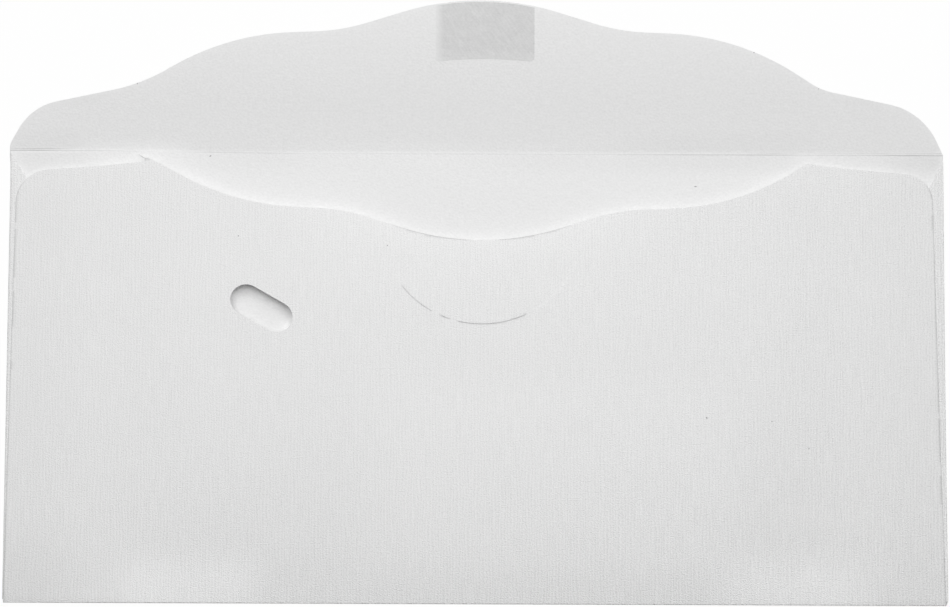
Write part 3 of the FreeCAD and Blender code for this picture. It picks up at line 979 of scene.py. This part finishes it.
def crease(line, depth):
    """One line at a height over the score: its depth on it, 0 beside it."""
    away = calc(score_group, "ABSOLUTE", calc(score_group, "SUBTRACT", height, line))
    share = calc(score_group, "DIVIDE", away, given["Half width"])
    near = calc(score_group, "SUBTRACT", 1.0, share, clamp=True)
    uneven = calc(score_group, "MULTIPLY_ADD", broken, 0.4, 1.0)
    return calc(score_group, "MULTIPLY", calc(score_group, "MULTIPLY", near, uneven), depth)


both = calc(score_group, "ADD", crease(low_crease_height, given["Low"]),
            crease(high_crease_height, given["High"]))
ridge_highlight = crease(ridge_height, 1.0)
score_group.links.new(calc(score_group, "MULTIPLY_ADD", ridge_highlight, -0.07, both), result[0])
print("made", score_group.name)

# %% [markdown]
# Now a paper material. The white of the base colour is dimmed a little by the clouds, by painted shade
# in the valleys of the relief and in the creases, and by the painted shadow and highlight along a cut
# edge. It is also scaled by the painted light and shade of the tone. The attribute named cut is 1 on an
# edge and falls to 0 at the next row of points, so a high power of it is a hairline.

# %% Paper material
HAIRLINE_POWER = 7.0


def paper_material(name, white, relief, relief_height, trace, edge_light_and_shade, crease_shade):
    """Matte paper whose relief comes from a shader group."""
    material = bpy.data.materials.new(name)
    material.use_nodes = True
    tree = material.node_tree
    shader = tree.nodes["Principled BSDF"]
    place = add(tree, "Attribute", attribute_name="blank").outputs["Vector"]
    height = use_group(tree, relief, {"Place": place})
    cloud = use_group(tree, cloud_group, {"Place": place})
    low, high = [add(tree, "Attribute", attribute_name=key).outputs["Fac"] for key in ("low", "high")]
    mark = use_group(tree, score_group, {"Place": place, "Low": low, "High": high})
    cut = add(tree, "Attribute", attribute_name="cut").outputs["Fac"]
    strength = add(tree, "Attribute", attribute_name="edge_light_and_shade").outputs["Fac"]
    hairline = calc(tree, "MULTIPLY", calc(tree, "POWER", cut, HAIRLINE_POWER), strength)
    # The tone attribute is painted light and shade; the next lines add painted shade in the relief's
    # valleys, in the creases and along cut edges.
    plain = add(tree, "Attribute", attribute_name="tone").outputs["Fac"]
    shade = calc(tree, "MULTIPLY_ADD", cloud, 0.012, plain)
    shade = calc(tree, "MULTIPLY_ADD", height, trace, shade)
    shade = calc(tree, "MULTIPLY_ADD", mark, -crease_shade, shade)
    shade = calc(tree, "MULTIPLY_ADD", hairline, -edge_light_and_shade, shade)
    tinted = add(tree, "VectorMath", {0: (white, white, white), "Scale": shade}, operation="SCALE")
    tree.links.new(tinted.outputs[0], shader.inputs["Base Color"])
    bump = add(tree, "Bump", {"Height": height, "Distance": relief_height * MM, "Strength": 1.0})
    tree.links.new(bump.outputs[0], shader.inputs["Normal"])
    shader.inputs["Roughness"].default_value = 0.85
    shader.inputs["Specular IOR Level"].default_value = 0.25
    return material


inner_paper = paper_material("inner_face", 0.84, grain_group, 0.022, 0.068, edge_light_and_shade=0.12, crease_shade=0.5)
outer_paper = paper_material("outer_face", 0.84, laid_group, 0.045, 0.092, edge_light_and_shade=0.3, crease_shade=0.0)
cut_edge = paper_material("cut_edge", 0.8, grain_group, 0.008, 0.012, edge_light_and_shade=0.1, crease_shade=0.0)
for material in (inner_paper, outer_paper, cut_edge):
    sheet.data.materials.append(material)
print("paper materials:", [m.name for m in sheet.data.materials])

# %% [markdown]
# Dried gum wets the paper through, so the spot is greyer than the bare paper, and smoother. The roller
# dragged it sideways: streaks slant down to the right, and the film thins out at its left edge, where
# the streaks fray it. Its foot is a little paler, because the gum is thinnest there.

# %% Gum material
GUM_WHITE, BARE_WHITE = 0.656, 0.83
fray_start, fray_end = gum_left - 0.7, gum_left + 2.0
foot_start, foot_end = 0.0225, 0.0255


def gum_material():
    """Dried gum: streaked, a little glossy, thin at the left edge."""
    material = bpy.data.materials.new("dried_gum")
    material.use_nodes = True
    tree = material.node_tree
    shader = tree.nodes["Principled BSDF"]
    place = add(tree, "Attribute", attribute_name="blank").outputs["Vector"]
    slanted = add(tree, "VectorRotate", {"Vector": place, "Angle": math.radians(52.0)},
                  rotation_type="Z_AXIS").outputs[0]
    streaks = stretched_noise(tree, slanted, 3.2, 0.5, detail=1.0)
    patches = stretched_noise(tree, place, 3.0, 2.2, detail=2.0)
    across, along, _ = add(tree, "SeparateXYZ", {0: place}).outputs
    frayed = calc(tree, "MULTIPLY_ADD", streaks, 0.9, calc(tree, "MULTIPLY", across, 1000.0))
    cover = add(tree, "MapRange", {"Value": frayed, "From Min": fray_start,
                                   "From Max": fray_end}).outputs[0]
    grain = use_group(tree, grain_group, {"Place": place})
    tone = calc(tree, "MULTIPLY_ADD", streaks, 0.08, calc(tree, "MULTIPLY_ADD", patches, 0.06, 1.0))
    tone = calc(tree, "MULTIPLY_ADD", grain, 0.085, tone)
    foot = add(tree, "MapRange", {"Value": along, "From Min": foot_start, "From Max": foot_end,
                                  "To Min": 0.07, "To Max": 0.0}).outputs[0]
    tone = calc(tree, "ADD", tone, foot)
    film = add(tree, "VectorMath", {0: (GUM_WHITE,) * 3, "Scale": tone}, operation="SCALE").outputs[0]
    bare = (BARE_WHITE, BARE_WHITE, BARE_WHITE, 1.0)
    colour = add(tree, "Mix", {"Factor": cover, 6: bare, 7: film}, data_type="RGBA")
    tree.links.new(colour.outputs[2], shader.inputs["Base Color"])
    bump = add(tree, "Bump", {"Height": grain, "Distance": 0.008 * MM, "Strength": 1.0})
    tree.links.new(bump.outputs[0], shader.inputs["Normal"])
    shader.inputs["Roughness"].default_value = 0.55
    shader.inputs["Specular IOR Level"].default_value = 0.3
    return material


dried_gum = gum_material()
for _ in ("inner face", "outer face", "rim"):
    gum.data.materials.append(dried_gum)
print("gum material:", dried_gum.name)

# %% [markdown]
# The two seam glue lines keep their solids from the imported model, because they are plain thin films
# between two panels. They get a dull yellowish white with a little unevenness.

# %% Seam glue material
glue_material = bpy.data.materials.new("seam_glue")
glue_material.use_nodes = True
tree = glue_material.node_tree
place = add(tree, "TexCoord").outputs["Object"]
uneven = stretched_noise(tree, place, 1.5, 6.0, detail=1.0)
tone = calc(tree, "MULTIPLY_ADD", uneven, 0.04, 0.78)
tinted = add(tree, "CombineColor", {0: tone, 1: tone, 2: calc(tree, "MULTIPLY", tone, 0.96)})
shader = tree.nodes["Principled BSDF"]
tree.links.new(tinted.outputs[0], shader.inputs["Base Color"])
shader.inputs["Roughness"].default_value = 0.5
for node in ("left_seam_glue", "right_seam_glue"):
    for slot in bpy.data.objects[node].material_slots:
        slot.material = glue_material

# %% [markdown]
# ## Flecks
# White paper is never quite clean: a few dark bits of fibre and bark stay in the pulp, each a fraction
# of a millimetre long. Each is listed with its panel, its place, its half length and half width, and its
# turn in degrees. The places are chosen on the flat blank, so the flecks are folded with it.

# %% Where the flecks lie
FLECK_THICKNESS = 0.03
flecks = [
    ("front", -65.27, -0.76, 0.3, 0.14, 40), ("front", 53.72, -8.16, 0.34, 0.16, 0),
    ("back", -58.08, -21.95, 0.22, 0.16, 80), ("back", -21.65, -24.28, 0.2, 0.14, 20),
    ("back", 56.18, -67.84, 0.26, 0.18, 130), ("back", 80.98, -75.17, 0.22, 0.15, 60),
    ("back", 72.02, -68.58, 0.22, 0.12, 100), ("flap", 68.07, 24.91, 0.2, 0.14, 150),
    ("flap", 83.93, 16.06, 0.2, 0.12, 30), ("flap", -83.35, 16.8, 0.2, 0.12, 75),
]
flat = np.array([(x, past_bottom(y) if panel == "back" else y) for panel, x, y, *_ in flecks])
middles, looks = folded(flat)
upwards = looks * np.sign(looks[:, 2:])
tops = to_row_frame(middles + upwards * (paper / 2 + FLECK_THICKNESS / 2 + CONTACT))
print("highest fleck at", round(float(tops[:, 2].max()), 2), "mm")

# %% [markdown]
# One point stands for each fleck. It carries the fleck's half sizes and its turn as attributes, which
# the node tree reads later.

# %% One point for each fleck
fleck_mesh = bpy.data.meshes.new("flecks")
fleck_mesh.from_pydata((tops * MM).tolist(), [], [])
half_sizes = fleck_mesh.attributes.new("half_size", "FLOAT_VECTOR", "POINT")
half_sizes.data.foreach_set("vector", np.ravel([(a * MM, b * MM, 0.0) for *_, a, b, _ in flecks]))
turns = fleck_mesh.attributes.new("turn", "FLOAT_VECTOR", "POINT")
turns.data.foreach_set("vector", np.ravel([(0.0, 0.0, math.radians(angle)) for *_, angle in flecks]))
fleck_piece = bpy.data.objects.new("flecks", fleck_mesh)
bpy.context.scene.collection.objects.link(fleck_piece)
print("flecks:", len(flecks))

# %% [markdown]
# The bits are bark and dark fibre. Their colour is a middle grey that varies from bit to bit, because
# some lie deeper in the paper than others.

# %% Colour of a fleck
fleck_material = bpy.data.materials.new("fleck")
fleck_material.use_nodes = True
tree = fleck_material.node_tree
uneven = stretched_noise(tree, add(tree, "TexCoord").outputs["Object"], 6.0, 6.0)
tone = calc(tree, "MULTIPLY_ADD", uneven, 0.1, 0.42)
tinted = add(tree, "CombineColor", {0: tone, 1: tone, 2: tone})
tree.links.new(tinted.outputs[0], tree.nodes["Principled BSDF"].inputs["Base Color"])
tree.nodes["Principled BSDF"].inputs["Roughness"].default_value = 0.9
print("made", fleck_material.name)

# %% [markdown]
# The fleck itself is one small flat ball, repeated on every point by a Geometry Nodes tree. The ball is
# turned and sized by what the point carries, with a little chance in the size, and its thickness is an
# input of the tree. The tree ends in plain faces with their material.

# %% Tree that lays a fleck on every point
tree = bpy.data.node_groups.new("flecks on points", "GeometryNodeTree")
tree.interface.new_socket("Points", in_out="INPUT", socket_type="NodeSocketGeometry")
thickness_input = tree.interface.new_socket("Thickness", in_out="INPUT", socket_type="NodeSocketFloat")
chance_input = tree.interface.new_socket("Chance in size", in_out="INPUT", socket_type="NodeSocketFloat")
tree.interface.new_socket("Flecks", in_out="OUTPUT", socket_type="NodeSocketGeometry")
given, result = tree.nodes.new("NodeGroupInput").outputs, tree.nodes.new("NodeGroupOutput").inputs


def read_attribute(name):
    """Vector that each point carries under a name."""
    node = tree.nodes.new("GeometryNodeInputNamedAttribute")
    node.data_type = "FLOAT_VECTOR"
    node.inputs["Name"].default_value = name
    return node.outputs["Attribute"]


ball = tree.nodes.new("GeometryNodeMeshIcoSphere")
ball.inputs["Radius"].default_value = 1.0
ball.inputs["Subdivisions"].default_value = 2
chance = tree.nodes.new("FunctionNodeRandomValue")
chance.data_type = "FLOAT"
chance.inputs["Seed"].default_value = 7
least = add(tree, "Math", {0: 1.0, 1: given["Chance in size"]}, operation="SUBTRACT").outputs[0]
tree.links.new(least, chance.inputs[2])
grown = add(tree, "VectorMath", {0: read_attribute("half_size"), "Scale": chance.outputs[1]},
            operation="SCALE")
half_thickness = add(tree, "Math", {0: given["Thickness"], 1: 0.5}, operation="MULTIPLY").outputs[0]
thick = add(tree, "CombineXYZ", {2: half_thickness}).outputs[0]
sizes = add(tree, "VectorMath", {0: grown.outputs[0], 1: thick}, operation="ADD").outputs[0]
turned = tree.nodes.new("FunctionNodeEulerToRotation")
tree.links.new(read_attribute("turn"), turned.inputs[0])
place_balls = tree.nodes.new("GeometryNodeInstanceOnPoints")
tree.links.new(given["Points"], place_balls.inputs["Points"])
tree.links.new(ball.outputs["Mesh"], place_balls.inputs["Instance"])
tree.links.new(turned.outputs[0], place_balls.inputs["Rotation"])
tree.links.new(sizes, place_balls.inputs["Scale"])
realize = tree.nodes.new("GeometryNodeRealizeInstances")
tree.links.new(place_balls.outputs[0], realize.inputs[0])
colour = tree.nodes.new("GeometryNodeSetMaterial")
colour.inputs["Material"].default_value = fleck_material
tree.links.new(realize.outputs[0], colour.inputs["Geometry"])
tree.links.new(colour.outputs[0], result[0])
print("made", tree.name, "with", len(tree.nodes), "nodes")

# %% [markdown]
# The tree runs as a modifier. What it makes is taken off as a plain mesh, and the modifier goes.

# %% Turn the flecks into a mesh
FLECK_CHANCE = 0.2
modifier = fleck_piece.modifiers.new("flecks", "NODES")
modifier.node_group = tree
modifier[thickness_input.identifier] = FLECK_THICKNESS * MM
modifier[chance_input.identifier] = FLECK_CHANCE
evaluated = fleck_piece.evaluated_get(bpy.context.evaluated_depsgraph_get())
laid = bpy.data.meshes.new_from_object(evaluated)
fleck_piece.modifiers.clear()
fleck_piece.data = laid
laid.shade_smooth()
print("fleck faces:", len(laid.polygons))

# %% [markdown]
# ## Attaching the pieces
# The sheet and the gum take the place of the envelope_sheet and seal_gum solids of the imported model,
# which are hidden. The flecks stand for none of them: they only ride along on the root, as the paper does.

for piece, node, slot in ((sheet, "envelope_sheet", "paper"), (gum, "seal_gum", "gum")):
    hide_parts(node)
    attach(piece, "root")
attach(fleck_piece, "root")

# %% [markdown]
# ## Floor and light
# The floor is a plain pale table. Where the camera sees it directly it shows as almost clear white. A
# small share of its own paint stays in the mix, so that it takes a trace of the paper's shadow.

# %% Floor
floor_size, floor_drop = 6.0, 0.0002
white_share = 0.965
floor_mesh = bpy.data.meshes.new("table_top")
floor_mesh.from_pydata([(x * floor_size, y * floor_size, -floor_drop)
                        for x, y in ((-1, -1), (1, -1), (1, 1), (-1, 1))], [], [(0, 1, 2, 3)])
floor = bpy.data.objects.new("table_top", floor_mesh)
bpy.context.scene.collection.objects.link(floor)
floor_material = bpy.data.materials.new("pale_table")
floor_material.use_nodes = True
tree = floor_material.node_tree
shader = tree.nodes["Principled BSDF"]
shader.inputs["Base Color"].default_value = (0.85, 0.85, 0.85, 1.0)
shader.inputs["Roughness"].default_value = 0.9
rays = add(tree, "LightPath").outputs
in_mirrors = calc(tree, "MAXIMUM", rays["Is Glossy Ray"], rays["Is Transmission Ray"])
seen = calc(tree, "MAXIMUM", rays["Is Camera Ray"], in_mirrors)
white = add(tree, "Emission", {"Color": (1.0, 1.0, 1.0, 1.0), "Strength": 1.0}).outputs[0]
shown = calc(tree, "MULTIPLY", seen, white_share)
mixed = add(tree, "MixShader", {0: shown, 1: shader.outputs[0], 2: white})
tree.links.new(mixed.outputs[0], tree.nodes["Material Output"].inputs["Surface"])
floor_mesh.materials.append(floor_material)
print("floor", floor_size * 2, "m wide")

# %% [markdown]
# The light comes as in the photograph: one large soft lamp close above the envelope, a little beyond
# its upper end. It makes the paper that leans towards the bottom darker, draws a soft shadow in the
# slot, and leaves the pocket's mouth bright. A dim even sky fills the rest.

# %% Lamp
lamp_size, lamp_power = 1.06, 7.1
key_azimuth, key_height, key_distance = math.radians(93.5), math.radians(69.4), 0.63
key_data = bpy.data.lights.new("key_lamp", "AREA")
key_data.shape = "RECTANGLE"
key_data.size = key_data.size_y = lamp_size
key_data.energy = lamp_power
key = bpy.data.objects.new("key_lamp", key_data)
bpy.context.scene.collection.objects.link(key)
key_way = Vector((math.cos(key_azimuth) * math.cos(key_height),
                  math.sin(key_azimuth) * math.cos(key_height), math.sin(key_height)))
key.location = key_way * key_distance
key.rotation_euler = key_way.to_track_quat("Z", "Y").to_euler()
print("lamp at", [round(v, 2) for v in key.location])

# %% [markdown]
# The sky is white and very dim, so the lamp alone models the paper. The view stays plain, because then a
# colour shows about as it was written.

# %% Sky and view
sky_strength = 0.04
world = bpy.data.worlds.new("sky")
world.use_nodes = True
bpy.context.scene.world = world
world.node_tree.nodes["Background"].inputs["Color"].default_value = (1.0, 1.0, 1.0, 1.0)
world.node_tree.nodes["Background"].inputs["Strength"].default_value = sky_strength
bpy.context.scene.view_settings.view_transform = "Standard"
print("view transform:", bpy.context.scene.view_settings.view_transform)
